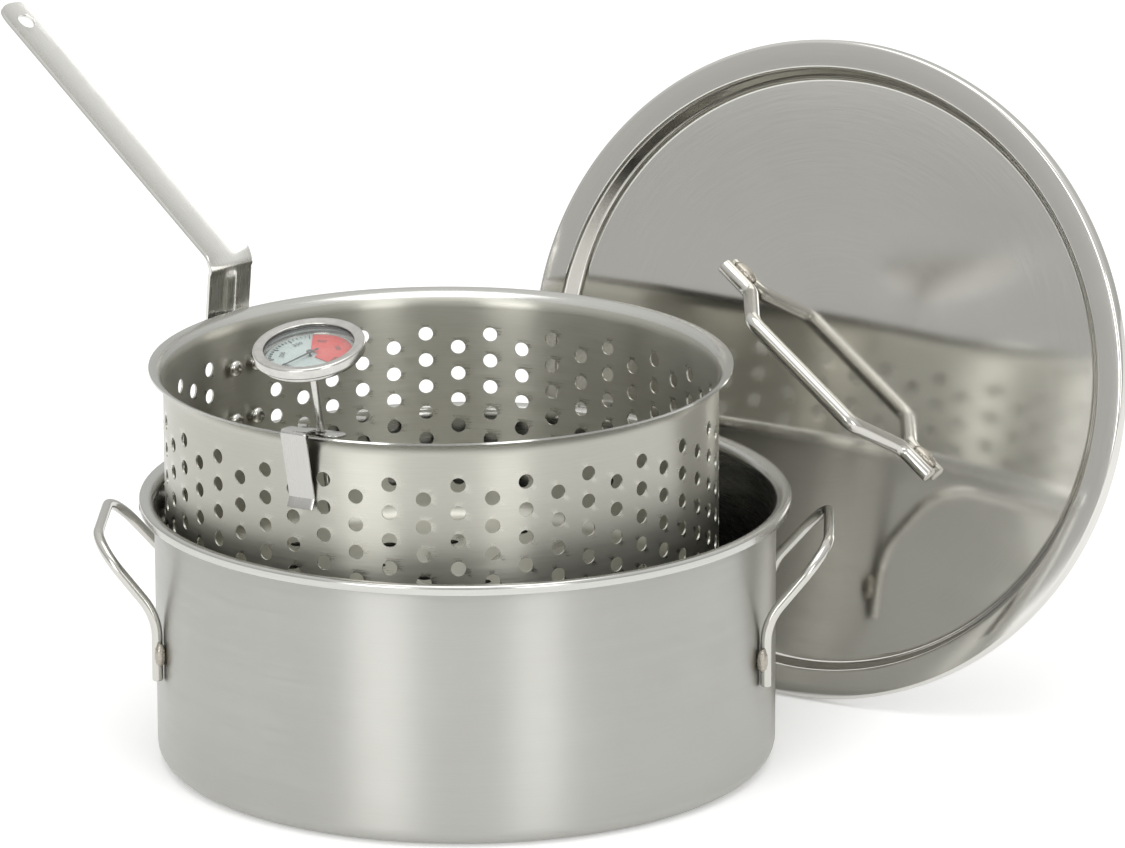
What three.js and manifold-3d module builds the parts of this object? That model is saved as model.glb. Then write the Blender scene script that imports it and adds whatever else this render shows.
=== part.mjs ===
// Shallow stainless frying kit: pot, perforated basket, lid, clip and dial thermometer.
// Millimetres, +Z up. The origin is the centre of the pot's base, on the floor.
// The pot's side handles lie on the X axis.

import * as THREE from 'three';
import { mergeVertices } from 'three/addons/utils/BufferGeometryUtils.js';
import Module from 'manifold-3d';

// ---- driving dimensions ----------------------------------------------------

const GAP = 0.3;
const SHEET = 0.9;

const POT = {
  radius: 152.5,
  height: 133,
  corner: 9,
  flare: 5.9,
  rimRadius: 160,
  edge: 1.8,
  lip: 4.8,
  segments: 60,
};

const POT_HANDLE = {
  rod: 2.7,
  legAngle: 17.4,
  legBottom: 48.6,
  legTop: 81.3,
  gripOut: 178.5,
  gripHalf: 40,
  gripHeight: 116.8,
  kneeBend: 28,
  gripBend: 22,
};

const BASKET = {
  azimuth: 140.3,
  offset: 15.6,
  bottom: 76,
  top: 196,
  radius: 135.2,
  corner: 8,
  flare: 9,
  columns: 52,
  firstColumn: -2.36,
  topRow: 172.4,
  rowPitch: 13.8,
  rows: 6,
  hole: 7.3,
  plainHalfAngle: 8,
  floorRings: [[30, 6], [60, 12], [90, 18], [114, 24]],
};

const BASKET_HANDLE = {
  thickness: 1.6,
  width: 29.6,
  wallX: 136.3,
  hookX: 145.6,
  hookBottom: 125,
  rimX: 146.2,
  rimZ: 190,
  foldX: 143.4,
  foldZ: 219.6,
  gripRise: 35.5,
  gripLength: 189,
  troughDepth: 4,
  ribHeight: 1.2,
  hangHole: 9.2,
  hangHoleInset: 13.5,
};

const SCREW = {
  halfSpacing: 7.65,
  heights: [169, 141.5],
  shank: 2.1,
  head: 4.2,
  headHeight: 2.5,
  clearance: 2.6,
  washer: 4.6,
  washerThickness: 0.8,
  nut: 4.1,
  nutThickness: 3,
};

const LID = {
  position: [173.3, 111.2, 164.16],
  azimuth: -116.93,
  elevation: 10.39,
  radius: 165.8,
  skirt: 6,
  stepTop: 153,
  stepBottom: 148.2,
  recess: 10,
  segments: 60,
};

const LID_HANDLE = {
  rod: 4,
  turn: -35.9,
  half: 77.5,
  footHalf: 57,
  gripHalf: 37,
  rise: 27,
  bend: 9,
};

const CLIP = {
  azimuth: 103.85,
  lean: 13.6,
  thickness: 1,
  width: 13.8,
  legLength: 34.5,
  bridge: 1.25,
  droop: 18.6,
  innerY: 8.4,
  tabZ: -4.3,
  tabLength: 12.4,
  tabEnd: 18.8,
  hole: 5,
  holeX: 6,
  holeY: 14.3,
};

const PROBE = {
  radius: 1.9,
  length: 127,
  dialHeight: 45.9,
  bezel: 26.9,
  window: 21.7,
  zoneStart: -19,
  zoneSweep: 134,
  pointerAngle: 247,
};

// ---- materials -------------------------------------------------------------

function metal(color, roughness) {
  return new THREE.MeshStandardMaterial({ color, roughness, metalness: 1 });
}

function plain(color, roughness) {
  return new THREE.MeshStandardMaterial({ color, roughness, metalness: 0 });
}

const LOOK = {
  brushed: () => metal(0xc3c4bd, 0.32),
  polished: () => metal(0xc8c9c4, 0.16),
  satin: () => metal(0xdddfd9, 0.38),
  weld: () => metal(0xa9aaa4, 0.45),
  face: () => plain(0xc9d3d0, 0.6),
  red: () => plain(0xc9433f, 0.6),
  black: () => plain(0x1c1c1c, 0.5),
  rubber: () => plain(0x222222, 0.9),
  glass: () => Object.assign(plain(0xeef4f2, 0.05), { opacity: 0.25, transparent: true }),
};

// ---- solids ----------------------------------------------------------------

const wasm = await Module();
wasm.setup();

const rad = THREE.MathUtils.degToRad;

function signedVolume(position, index) {
  const a = new THREE.Vector3();
  const b = new THREE.Vector3();
  const c = new THREE.Vector3();
  let sum = 0;
  for (let i = 0; i < index.length; i += 3) {
    a.fromBufferAttribute(position, index[i]);
    b.fromBufferAttribute(position, index[i + 1]);
    c.fromBufferAttribute(position, index[i + 2]);
    sum += a.dot(b.cross(c));
  }
  return sum / 6;
}

// Welds shared vertices, drops collapsed triangles and turns the faces outwards.
function closed(source) {
  const bare = source.clone();
  bare.deleteAttribute('normal');
  bare.deleteAttribute('uv');
  bare.clearGroups();
  const merged = mergeVertices(bare, 1e-4);
  const raw = Array.from(merged.index.array);
  const kept = [];
  for (let i = 0; i < raw.length; i += 3) {
    const [a, b, c] = raw.slice(i, i + 3);
    if (a !== b && b !== c && c !== a) kept.push(a, b, c);
  }
  if (signedVolume(merged.attributes.position, kept) < 0) kept.reverse();
  merged.setIndex(kept);
  return merged;
}

function toManifold(geometry) {
  const body = closed(geometry);
  return new wasm.Manifold(new wasm.Mesh({
    numProp: 3,
    vertProperties: new Float32Array(body.attributes.position.array),
    triVerts: new Uint32Array(body.index.array),
  }));
}

function fromManifold(solid) {
  const data = solid.getMesh();
  const geometry = new THREE.BufferGeometry();
  const vertices = new Float32Array(data.vertProperties);
  geometry.setAttribute('position', new THREE.BufferAttribute(vertices, 3));
  geometry.setIndex(Array.from(data.triVerts));
  return geometry;
}

function cut(geometry, tools) {
  let solid = toManifold(geometry);
  for (const tool of tools) solid = solid.subtract(toManifold(tool));
  return fromManifold(solid);
}

function join(first, others) {
  let solid = toManifold(first);
  for (const other of others) solid = solid.add(toManifold(other));
  return fromManifold(solid);
}

function node(name, geometry, material) {
  const mesh = new THREE.Mesh(closed(geometry), material);
  mesh.geometry.computeVertexNormals();
  mesh.name = name;
  return mesh;
}

// Solid of revolution about +Z from [radius, height] pairs.
function turned(profile, segments, start = 0) {
  const points = profile.map(([r, z]) => new THREE.Vector2(r, z));
  const geometry = new THREE.LatheGeometry(points, segments);
  geometry.rotateX(Math.PI / 2);
  geometry.rotateZ(start);
  return geometry;
}

function ring(inner, outer, low, high, segments) {
  return turned([[inner, low], [outer, low], [outer, high], [inner, high], [inner, low]], segments);
}

function rodAlongX(radius, from, to, sides) {
  const geometry = new THREE.CylinderGeometry(radius, radius, to - from, sides);
  geometry.rotateZ(Math.PI / 2);
  geometry.translate((from + to) / 2, 0, 0);
  return geometry;
}

function arc(cx, cz, radius, fromDeg, toDeg, steps) {
  const points = [];
  for (let i = 0; i <= steps; i += 1) {
    const a = rad(fromDeg + (toDeg - fromDeg) * i / steps);
    points.push([cx + radius * Math.cos(a), cz + radius * Math.sin(a)]);
  }
  return points;
}

// ---- bent stock ------------------------------------------------------------

// Polyline with rounded corners; each corner has its own radius.
function rounded(corners, radii, steps) {
  const path = [corners[0].clone()];
  for (let i = 1; i < corners.length - 1; i += 1) {
    const before = corners[i - 1].clone().sub(corners[i]).normalize();
    const after = corners[i + 1].clone().sub(corners[i]).normalize();
    const half = before.angleTo(after) / 2;
    const setback = radii[i - 1] / Math.tan(half);
    const middle = before.clone().add(after).normalize();
    const centre = corners[i].clone().addScaledVector(middle, radii[i - 1] / Math.sin(half));
    const first = corners[i].clone().addScaledVector(before, setback).sub(centre);
    const last = corners[i].clone().addScaledVector(after, setback).sub(centre);
    const sweep = first.angleTo(last);
    const axis = first.clone().cross(last).normalize();
    for (let k = 0; k <= steps; k += 1) {
      path.push(first.clone().applyAxisAngle(axis, sweep * k / steps).add(centre));
    }
  }
  path.push(corners[corners.length - 1].clone());
  return path;
}

// Frames along a path: the normal is carried without twist from the first one.
function stations(path, firstNormal) {
  const frames = [];
  let normal = firstNormal.clone();
  path.forEach((point, i) => {
    const back = i > 0 ? point.clone().sub(path[i - 1]).normalize() : null;
    const ahead = i < path.length - 1 ? path[i + 1].clone().sub(point).normalize() : null;
    const tangent = new THREE.Vector3();
    if (back) tangent.add(back);
    if (ahead) tangent.add(ahead);
    tangent.normalize();
    normal = normal.clone().addScaledVector(tangent, -normal.dot(tangent)).normalize();
    const side = tangent.clone().cross(normal).normalize();
    frames.push({ point, tangent, normal, side });
  });
  return frames;
}

// Bends stock that lies along Y, one row of vertices to each station.
function bend(stock, length, frames, shape = (across, lift) => [across, lift]) {
  const position = stock.attributes.position;
  const rows = frames.length - 1;
  for (let i = 0; i < position.count; i += 1) {
    const row = Math.round((position.getY(i) / length + 0.5) * rows);
    const frame = frames[row];
    const [across, lift] = shape(position.getZ(i), position.getX(i), row);
    const spot = frame.point.clone().addScaledVector(frame.side, across).addScaledVector(frame.normal, lift);
    position.setXYZ(i, spot.x, spot.y, spot.z);
  }
  return stock;
}

function bentRod(path, radius, sides, firstNormal) {
  const frames = stations(path, firstNormal);
  const stock = new THREE.CylinderGeometry(radius, radius, 1, sides, frames.length - 1);
  return bend(stock, 1, frames);
}

function bentStrip(path, thickness, width, across, firstNormal, shape) {
  const frames = stations(path, firstNormal);
  const stock = new THREE.BoxGeometry(thickness, 1, width, 1, frames.length - 1, across);
  return bend(stock, 1, frames, shape);
}

// ---- pot -------------------------------------------------------------------

function potProfile() {
  const { radius, height, corner, flare, rimRadius, edge, lip } = POT;
  const inner = radius - SHEET;
  const flareX = inner + flare;
  const flareZ = height - flare;
  return [
    [0, 0],
    ...arc(radius - corner, corner, corner, -90, 0, 3),
    ...arc(flareX, flareZ, flare - SHEET, 180, 90, 3),
    ...arc(rimRadius - edge, height - edge, edge - SHEET, 90, 0, 1),
    [rimRadius - SHEET, height - lip],
    [rimRadius, height - lip],
    ...arc(rimRadius - edge, height - edge, edge, 0, 90, 2),
    ...arc(flareX, flareZ, flare, 90, 180, 3),
    ...arc(radius - corner, corner, corner - SHEET, 0, -90, 3),
    [0, SHEET],
  ];
}

function potLegSpot(z) {
  const reach = POT.radius + GAP + POT_HANDLE.rod;
  const angle = rad(POT_HANDLE.legAngle);
  return new THREE.Vector3(reach * Math.cos(angle), reach * Math.sin(angle), z);
}

function potHandleGeometry() {
  const { rod, legBottom, legTop, gripOut, gripHalf, gripHeight, kneeBend, gripBend } = POT_HANDLE;
  const low = potLegSpot(legBottom);
  const knee = potLegSpot(legTop);
  const mirror = (v) => new THREE.Vector3(v.x, -v.y, v.z);
  const grip = new THREE.Vector3(gripOut, gripHalf, gripHeight);
  const corners = [low, knee, grip, mirror(grip), mirror(knee), mirror(low)];
  const path = rounded(corners, [kneeBend, gripBend, gripBend, kneeBend], 3);
  return bentRod(path, rod, 8, new THREE.Vector3(1, 0, 0));
}

// Weld bead in the corner between one leg and the pot wall, trimmed clear of both.
function potWeldGeometry(side) {
  const spot = potLegSpot(POT_HANDLE.legBottom + 14);
  spot.y *= side;
  const beside = rad(POT_HANDLE.legAngle + 1.4) * side;
  const reach = POT.radius + 2.4;
  const bead = new THREE.SphereGeometry(1, 10, 6);
  bead.scale(2.9, 2.9, 6.2);
  bead.translate(reach * Math.cos(beside), reach * Math.sin(beside), spot.z);
  const rod = new THREE.CylinderGeometry(POT_HANDLE.rod + GAP, POT_HANDLE.rod + GAP, 30, 10);
  rod.rotateX(Math.PI / 2);
  rod.translate(spot.x, spot.y, spot.z);
  const wall = new THREE.CylinderGeometry(POT.radius + GAP, POT.radius + GAP, 30, 60);
  wall.rotateX(Math.PI / 2);
  wall.translate(0, 0, spot.z);
  return cut(bead, [rod, wall]);
}

function buildPot() {
  const group = new THREE.Group();
  group.add(node('pot_shell', turned(potProfile(), POT.segments), LOOK.brushed()));
  for (const [name, angle] of [['right', 0], ['left', Math.PI]]) {
    const handle = node(`pot_handle_${name}`, potHandleGeometry(), LOOK.polished());
    handle.rotation.z = angle;
    group.add(handle);
    for (const [end, side] of [['a', 1], ['b', -1]]) {
      const weld = node(`pot_weld_${name}_${end}`, potWeldGeometry(side), LOOK.weld());
      weld.rotation.z = angle;
      group.add(weld);
    }
  }
  return group;
}

// ---- basket ----------------------------------------------------------------

function basketProfile() {
  const { bottom, top, radius, corner, flare } = BASKET;
  const flareX = radius + flare;
  const flareZ = top - SHEET - flare;
  return [
    [0, bottom],
    ...arc(radius - corner, bottom + corner, corner, -90, 0, 2),
    ...arc(flareX, flareZ, flare, 180, 97, 3),
    ...arc(flareX, flareZ, flare + SHEET, 97, 180, 3),
    ...arc(radius - corner, bottom + corner, corner - SHEET, 0, -90, 2),
    [0, bottom + SHEET],
  ];
}

function wallPunch(angle, z, diameter, sides) {
  const punch = rodAlongX(diameter / 2, BASKET.radius - 8, BASKET.radius + 8, sides);
  punch.translate(0, 0, z);
  punch.rotateZ(angle);
  return punch;
}

function wallHoles() {
  const punches = [];
  const step = 360 / BASKET.columns;
  for (let column = 0; column < BASKET.columns; column += 1) {
    const degrees = BASKET.firstColumn + step * column;
    const fromHandle = Math.abs(((degrees + 180) % 360) - 180);
    if (fromHandle < BASKET.plainHalfAngle) continue;
    const first = BASKET.topRow - (column % 2) * BASKET.rowPitch / 2;
    for (let row = 0; row < BASKET.rows; row += 1) {
      punches.push(wallPunch(rad(degrees), first - BASKET.rowPitch * row, BASKET.hole, 4));
    }
  }
  return punches;
}

function floorHoles() {
  const punches = [];
  for (const [radius, count] of BASKET.floorRings) {
    for (let i = 0; i < count; i += 1) {
      const angle = Math.PI * 2 * (i + 0.5) / count;
      const punch = new THREE.CylinderGeometry(BASKET.hole / 2, BASKET.hole / 2, 10, 4);
      punch.rotateX(Math.PI / 2);
      punch.translate(radius * Math.cos(angle), radius * Math.sin(angle), BASKET.bottom);
      punches.push(punch);
    }
  }
  return punches;
}

function screwSpots() {
  const spots = [];
  SCREW.heights.forEach((z, level) => {
    for (const side of [-1, 1]) {
      const name = `${level === 0 ? 'upper' : 'lower'}_${side < 0 ? 'a' : 'b'}`;
      spots.push({ name, y: side * SCREW.halfSpacing, z });
    }
  });
  return spots;
}

function screwPunches() {
  return screwSpots().map(({ y, z }) => {
    const punch = rodAlongX(SCREW.clearance, BASKET.radius - 8, BASKET.radius + 8, 8);
    punch.translate(0, y, z);
    return punch;
  });
}

function basketShellGeometry() {
  const halfStep = 180 / BASKET.columns;
  const shell = turned(basketProfile(), BASKET.columns, rad(BASKET.firstColumn - halfStep));
  return cut(shell, [...wallHoles(), ...floorHoles(), ...screwPunches()]);
}

function handlePath() {
  const { wallX, hookX, hookBottom, rimX, rimZ, foldX, foldZ, thickness } = BASKET_HANDLE;
  const hookZ = POT.height + GAP + thickness / 2;
  const at = (x, z) => new THREE.Vector3(x, 0, z);
  const rise = rad(BASKET_HANDLE.gripRise);
  const along = (s) => at(foldX + s * Math.cos(rise), foldZ + s * Math.sin(rise));
  const length = BASKET_HANDLE.gripLength;
  const corners = [
    at(hookX, hookBottom),
    at(hookX, hookZ),
    at(wallX, hookZ),
    at(wallX, 177),
    at(rimX, rimZ),
    at(foldX, foldZ),
    along(8),
  ];
  const bends = rounded(corners, [2.2, 2.2, 6, 6, 3], 2);
  const tipSteps = [14.8, 8, 4, 1.4, 0];
  return [...bends, along(length - 90), ...tipSteps.map((d) => along(length - d))];
}

// Flat in the bracket, ribbed above the rim, a shallow trough in the grip.
function handleShape(path) {
  const { width, troughDepth, ribHeight, foldX, foldZ, gripLength, gripRise } = BASKET_HANDLE;
  const fold = new THREE.Vector3(foldX, 0, foldZ);
  const rise = rad(gripRise);
  const tip = fold.clone().add(new THREE.Vector3(Math.cos(rise), 0, Math.sin(rise)).multiplyScalar(gripLength));
  return (across, lift, row) => {
    const spot = path[row];
    const t = across / (width / 2);
    const inGrip = THREE.MathUtils.clamp((spot.x - foldX + 1.5) / 5, 0, 1) * (spot.z > foldZ - 3 ? 1 : 0);
    const fromTip = spot.distanceTo(tip);
    const half = width / 2;
    const round = fromTip < half ? Math.sqrt(half ** 2 - (half - fromTip) ** 2) / half : 1;
    const narrow = Math.max(round, 0.2);
    const trough = troughDepth * inGrip * (t * narrow) ** 2;
    const ribbed = spot.z > 191 && spot.z < 216.6 && spot.x < 150;
    const rib = ribbed && Math.abs(t) < 0.25 ? ribHeight : 0;
    return [across * narrow, lift + trough + rib];
  };
}

function basketHandleGeometry() {
  const { thickness, width, foldX, foldZ, gripRise, gripLength, hangHole, hangHoleInset } = BASKET_HANDLE;
  const path = handlePath();
  const strip = bentStrip(path, thickness, width, 8, new THREE.Vector3(-1, 0, 0), handleShape(path));
  const hole = new THREE.CylinderGeometry(hangHole / 2, hangHole / 2, 20, 12);
  hole.rotateX(Math.PI / 2);
  hole.rotateY(-rad(gripRise));
  const reach = gripLength - hangHoleInset;
  hole.translate(foldX + reach * Math.cos(rad(gripRise)), 0, foldZ + reach * Math.sin(rad(gripRise)));
  return cut(strip, [hole, ...screwPunches()]);
}

function screwGeometry() {
  const inner = BASKET.radius - SHEET - 1.2;
  const outer = BASKET_HANDLE.wallX + BASKET_HANDLE.thickness / 2 + SCREW.washerThickness + SCREW.nutThickness + 1.6;
  const { head, headHeight, shank } = SCREW;
  const geometry = turned([
    [0, inner - headHeight],
    [head * 0.55, inner - headHeight],
    [head * 0.88, inner - headHeight * 0.72],
    [head, inner - headHeight * 0.25],
    [head, inner],
    [shank, inner],
    [shank, outer],
    [0, outer],
  ], 10);
  geometry.rotateY(Math.PI / 2);
  return geometry;
}

function washerGeometry() {
  const low = BASKET_HANDLE.wallX + BASKET_HANDLE.thickness / 2 + GAP;
  const washer = ring(SCREW.shank + GAP, SCREW.washer, low, low + SCREW.washerThickness, 10);
  washer.rotateY(Math.PI / 2);
  return washer;
}

function nutGeometry() {
  const low = BASKET_HANDLE.wallX + BASKET_HANDLE.thickness / 2 + SCREW.washerThickness + 2 * GAP;
  const nut = new THREE.CylinderGeometry(SCREW.nut, SCREW.nut, SCREW.nutThickness, 6);
  const bore = new THREE.CylinderGeometry(SCREW.shank + GAP, SCREW.shank + GAP, 10, 8);
  const geometry = cut(nut, [bore]);
  geometry.rotateZ(Math.PI / 2);
  geometry.translate(low + SCREW.nutThickness / 2, 0, 0);
  return geometry;
}

function buildBasket() {
  const group = new THREE.Group();
  const azimuth = rad(BASKET.azimuth);
  group.position.set(BASKET.offset * Math.cos(azimuth), BASKET.offset * Math.sin(azimuth), 0);
  group.rotation.z = azimuth;
  group.add(node('basket_shell', basketShellGeometry(), LOOK.brushed()));
  group.add(node('basket_handle', basketHandleGeometry(), LOOK.satin()));
  for (const { name, y, z } of screwSpots()) {
    const pieces = [['screw', screwGeometry], ['washer', washerGeometry], ['nut', nutGeometry]];
    for (const [kind, make] of pieces) {
      const mesh = node(`basket_${kind}_${name}`, make(), LOOK.polished());
      mesh.position.set(0, y, z);
      group.add(mesh);
    }
  }
  group.add(buildClip());
  return group;
}

// ---- lid -------------------------------------------------------------------

function lidProfile() {
  const { radius, skirt, stepTop, stepBottom, recess } = LID;
  const edge = 1.8;
  return [
    [0, -recess - SHEET],
    ...arc(stepBottom - 3.4, -recess + 3.6, 3.6 + SHEET, -90, -15, 2),
    ...arc(stepTop, -2.6, 2.6 - SHEET, 165, 90, 2),
    ...arc(radius - edge, -edge, edge - SHEET, 90, 0, 1),
    [radius - SHEET, -skirt],
    [radius, -skirt],
    ...arc(radius - edge, -edge, edge, 0, 90, 2),
    ...arc(stepTop, -2.6, 2.6, 90, 165, 2),
    ...arc(stepBottom - 3.4, -recess + 3.6, 3.6, -15, -90, 2),
    [0, -recess],
  ];
}

function lidHandleGeometry() {
  const { rod, half, footHalf, gripHalf, rise, bend: turn } = LID_HANDLE;
  const low = -LID.recess + GAP + rod;
  const at = (x, z) => new THREE.Vector3(x, 0, z);
  const corners = [
    at(-half, low),
    at(-footHalf, low),
    at(-gripHalf, low + rise),
    at(gripHalf, low + rise),
    at(footHalf, low),
    at(half, low),
  ];
  const path = rounded(corners, [turn, turn, turn, turn], 3);
  return bentRod(path, rod, 10, new THREE.Vector3(0, 1, 0));
}

// Weld bead in the corner between one foot of the lid handle and the panel, clear of both.
function lidWeldGeometry(side) {
  const centre = side * (LID_HANDLE.half - 10);
  const low = -LID.recess + GAP;
  const bead = new THREE.SphereGeometry(1, 10, 6);
  bead.scale(7.5, 2.6, 2.6);
  bead.translate(centre, LID_HANDLE.rod, low + 0.6);
  const rod = rodAlongX(LID_HANDLE.rod + GAP, centre - 20, centre + 20, 10);
  rod.translate(0, 0, low + LID_HANDLE.rod);
  const panel = new THREE.BoxGeometry(60, 60, 20);
  panel.translate(centre, 0, low - 10);
  return cut(bead, [rod, panel]);
}

function buildLid() {
  const group = new THREE.Group();
  const azimuth = rad(LID.azimuth);
  const elevation = rad(LID.elevation);
  const out = new THREE.Vector3(
    Math.cos(elevation) * Math.cos(azimuth),
    Math.cos(elevation) * Math.sin(azimuth),
    Math.sin(elevation),
  );
  const right = new THREE.Vector3(0, 0, 1).cross(out).normalize();
  const up = out.clone().cross(right);
  group.quaternion.setFromRotationMatrix(new THREE.Matrix4().makeBasis(right, up, out));
  group.position.set(...LID.position);
  group.add(node('lid_shell', turned(lidProfile(), LID.segments), LOOK.polished()));
  const bar = new THREE.Group();
  bar.rotation.z = rad(LID_HANDLE.turn);
  bar.add(node('lid_handle', lidHandleGeometry(), LOOK.polished()));
  bar.add(node('lid_weld_a', lidWeldGeometry(-1), LOOK.weld()));
  bar.add(node('lid_weld_b', lidWeldGeometry(1), LOOK.weld()));
  group.add(bar);
  return group;
}

// ---- clip and thermometer --------------------------------------------------

// In the clip's frame X runs along the rim, Y into the basket and Z along the stem.
function clipGeometry() {
  const { thickness, width, legLength, bridge, innerY, tabZ, tabLength, tabEnd, holeX, holeY } = CLIP;
  const droop = rad(CLIP.droop);
  const at = (y, z) => new THREE.Vector3(0, y, z);
  const corners = [
    at(-4.6, -legLength - 4.2),
    at(-1, -legLength),
    at(-1, bridge),
    at(innerY, bridge - (innerY + 1) * Math.tan(droop)),
    at(innerY, tabZ - 0.3),
  ];
  const path = rounded(corners, [1.2, 1.5, 1.1], 2);
  const strip = bentStrip(path, thickness, width, 1, new THREE.Vector3(0, 1, 0));
  const half = tabLength / 2;
  const left = -width / 2;
  const outline = new THREE.Shape();
  outline.moveTo(left, 0);
  outline.lineTo(tabEnd - half, 0);
  outline.absarc(tabEnd - half, half, half, -Math.PI / 2, Math.PI / 2, false);
  outline.lineTo(left, tabLength);
  outline.closePath();
  const hole = new THREE.Path();
  const start = innerY - thickness / 2;
  hole.absarc(holeX, (holeY - start) / Math.cos(droop), CLIP.hole / 2, 0, Math.PI * 2, true);
  outline.holes.push(hole);
  const tab = new THREE.ExtrudeGeometry(outline, { depth: thickness, bevelEnabled: false, curveSegments: 6 });
  tab.translate(0, 0, -thickness / 2);
  tab.rotateX(-droop);
  tab.translate(0, start, tabZ);
  return join(strip, [tab]);
}

function stemGeometry() {
  const { radius, length } = PROBE;
  return turned([
    [0, -length],
    [radius * 0.6, -length + 0.3],
    [radius, -length + 2.5],
    [radius, -10.2],
    [0, -10.2],
  ], 12);
}

function collarGeometry() {
  const nut = new THREE.CylinderGeometry(4.4, 4.4, 3.2, 6);
  const bore = new THREE.CylinderGeometry(PROBE.radius + GAP, PROBE.radius + GAP, 10, 12);
  const geometry = cut(nut, [bore]);
  geometry.rotateX(Math.PI / 2);
  geometry.translate(0, 0, -12.3);
  return geometry;
}

function caseGeometry() {
  return turned([
    [0, -9.9],
    [16, -9.9],
    [17.5, -8.6],
    [23.9, -8],
    [24.6, -7],
    [24.6, -3.2],
    [23.8, -3.2],
    [23.8, -7.1],
    [16.8, -7.8],
    [15.6, -9],
    [0, -9],
  ], 24);
}

function bezelGeometry() {
  const { bezel, window } = PROBE;
  return turned([
    [24.9, -5.6],
    [bezel - 0.6, -5.6],
    [bezel, -4.6],
    [bezel, -1.2],
    [bezel - 1.2, 0],
    [window + 0.6, -0.6],
    [window, -1.2],
    [24.9, -1.6],
    [24.9, -5.6],
  ], 28);
}

function zoneGeometry() {
  const outline = new THREE.Shape();
  const start = rad(PROBE.zoneStart);
  const end = rad(PROBE.zoneStart + PROBE.zoneSweep);
  outline.absarc(0, 0, 20.5, start, end, false);
  outline.absarc(0, 0, 3.2, end, start, true);
  outline.closePath();
  const zone = new THREE.ExtrudeGeometry(outline, { depth: 0.25, bevelEnabled: false, curveSegments: 8 });
  zone.translate(0, 0, -6.3);
  return zone;
}

function pointerGeometry() {
  const hub = new THREE.CylinderGeometry(1.6, 1.6, 0.9, 12);
  hub.rotateX(Math.PI / 2);
  hub.translate(0, 0, -4.75);
  const spindle = new THREE.CylinderGeometry(0.6, 0.6, 3.6, 8);
  spindle.rotateX(Math.PI / 2);
  spindle.translate(0, 0, -6.8);
  const outline = new THREE.Shape();
  outline.moveTo(-5, -0.7);
  outline.lineTo(18.6, -0.18);
  outline.lineTo(18.6, 0.18);
  outline.lineTo(-5, 0.7);
  outline.closePath();
  const needle = new THREE.ExtrudeGeometry(outline, { depth: 0.4, bevelEnabled: false });
  needle.translate(0, 0, -4.95);
  const geometry = join(hub, [spindle, needle]);
  geometry.rotateZ(rad(PROBE.pointerAngle));
  return geometry;
}

function buildProbe() {
  const group = new THREE.Group();
  group.position.set(CLIP.holeX, CLIP.holeY, CLIP.tabZ + PROBE.dialHeight);
  group.add(node('probe_stem', stemGeometry(), LOOK.polished()));
  group.add(node('probe_collar', collarGeometry(), LOOK.polished()));
  group.add(node('dial_case', caseGeometry(), LOOK.polished()));
  group.add(node('dial_bezel', bezelGeometry(), LOOK.polished()));
  group.add(node('dial_gasket', ring(22.3, 23.6, -4.1, -3.3, 24), LOOK.rubber()));
  group.add(node('dial_window', turned([[0, -3], [24.5, -3], [24.5, -2], [0, -2]], 32), LOOK.glass()));
  group.add(node('dial_plate', ring(1, 22, -7, -6.6, 24), LOOK.face()));
  group.add(node('dial_zone', zoneGeometry(), LOOK.red()));
  group.add(node('dial_pointer', pointerGeometry(), LOOK.black()));
  return group;
}

function buildClip() {
  const group = new THREE.Group();
  const azimuth = rad(CLIP.azimuth);
  const rim = BASKET.radius + BASKET.flare - 0.2;
  const into = new THREE.Vector3(-Math.cos(azimuth), -Math.sin(azimuth), 0);
  const right = into.clone().cross(new THREE.Vector3(0, 0, 1));
  const basis = new THREE.Matrix4().makeBasis(right, into, new THREE.Vector3(0, 0, 1));
  group.quaternion.setFromRotationMatrix(basis);
  group.position.set(rim * Math.cos(azimuth), rim * Math.sin(azimuth), BASKET.top);
  const leaning = new THREE.Group();
  leaning.rotation.x = rad(CLIP.lean);
  leaning.add(node('clip_strip', clipGeometry(), LOOK.polished()));
  leaning.add(buildProbe());
  group.add(leaning);
  return group;
}

// ---- the kit ---------------------------------------------------------------

const kit = new THREE.Group();
kit.add(buildPot());
kit.add(buildBasket());
kit.add(buildLid());

export default kit;
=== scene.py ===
"""Looks of the shallow frying kit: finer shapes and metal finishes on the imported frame.

Every piece here replaces solids of the frame and rides on the same body. The tables below are in
millimetres and degrees; meshes are in metres. A piece is modelled in its own upright local frame
(pot, basket, clip or lid) and then placed by that frame's matrix.
"""

import math

import bmesh
import bpy
from mathutils import Matrix, Quaternion, Vector


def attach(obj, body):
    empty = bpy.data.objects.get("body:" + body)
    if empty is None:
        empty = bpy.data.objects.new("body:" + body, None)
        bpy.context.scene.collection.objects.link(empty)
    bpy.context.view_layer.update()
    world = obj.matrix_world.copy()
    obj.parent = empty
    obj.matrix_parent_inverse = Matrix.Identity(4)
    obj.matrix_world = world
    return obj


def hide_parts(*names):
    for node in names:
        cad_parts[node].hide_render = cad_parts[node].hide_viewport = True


MM = 0.001
SHEET = 0.9
GAP = 0.3
CELL = 6

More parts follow.
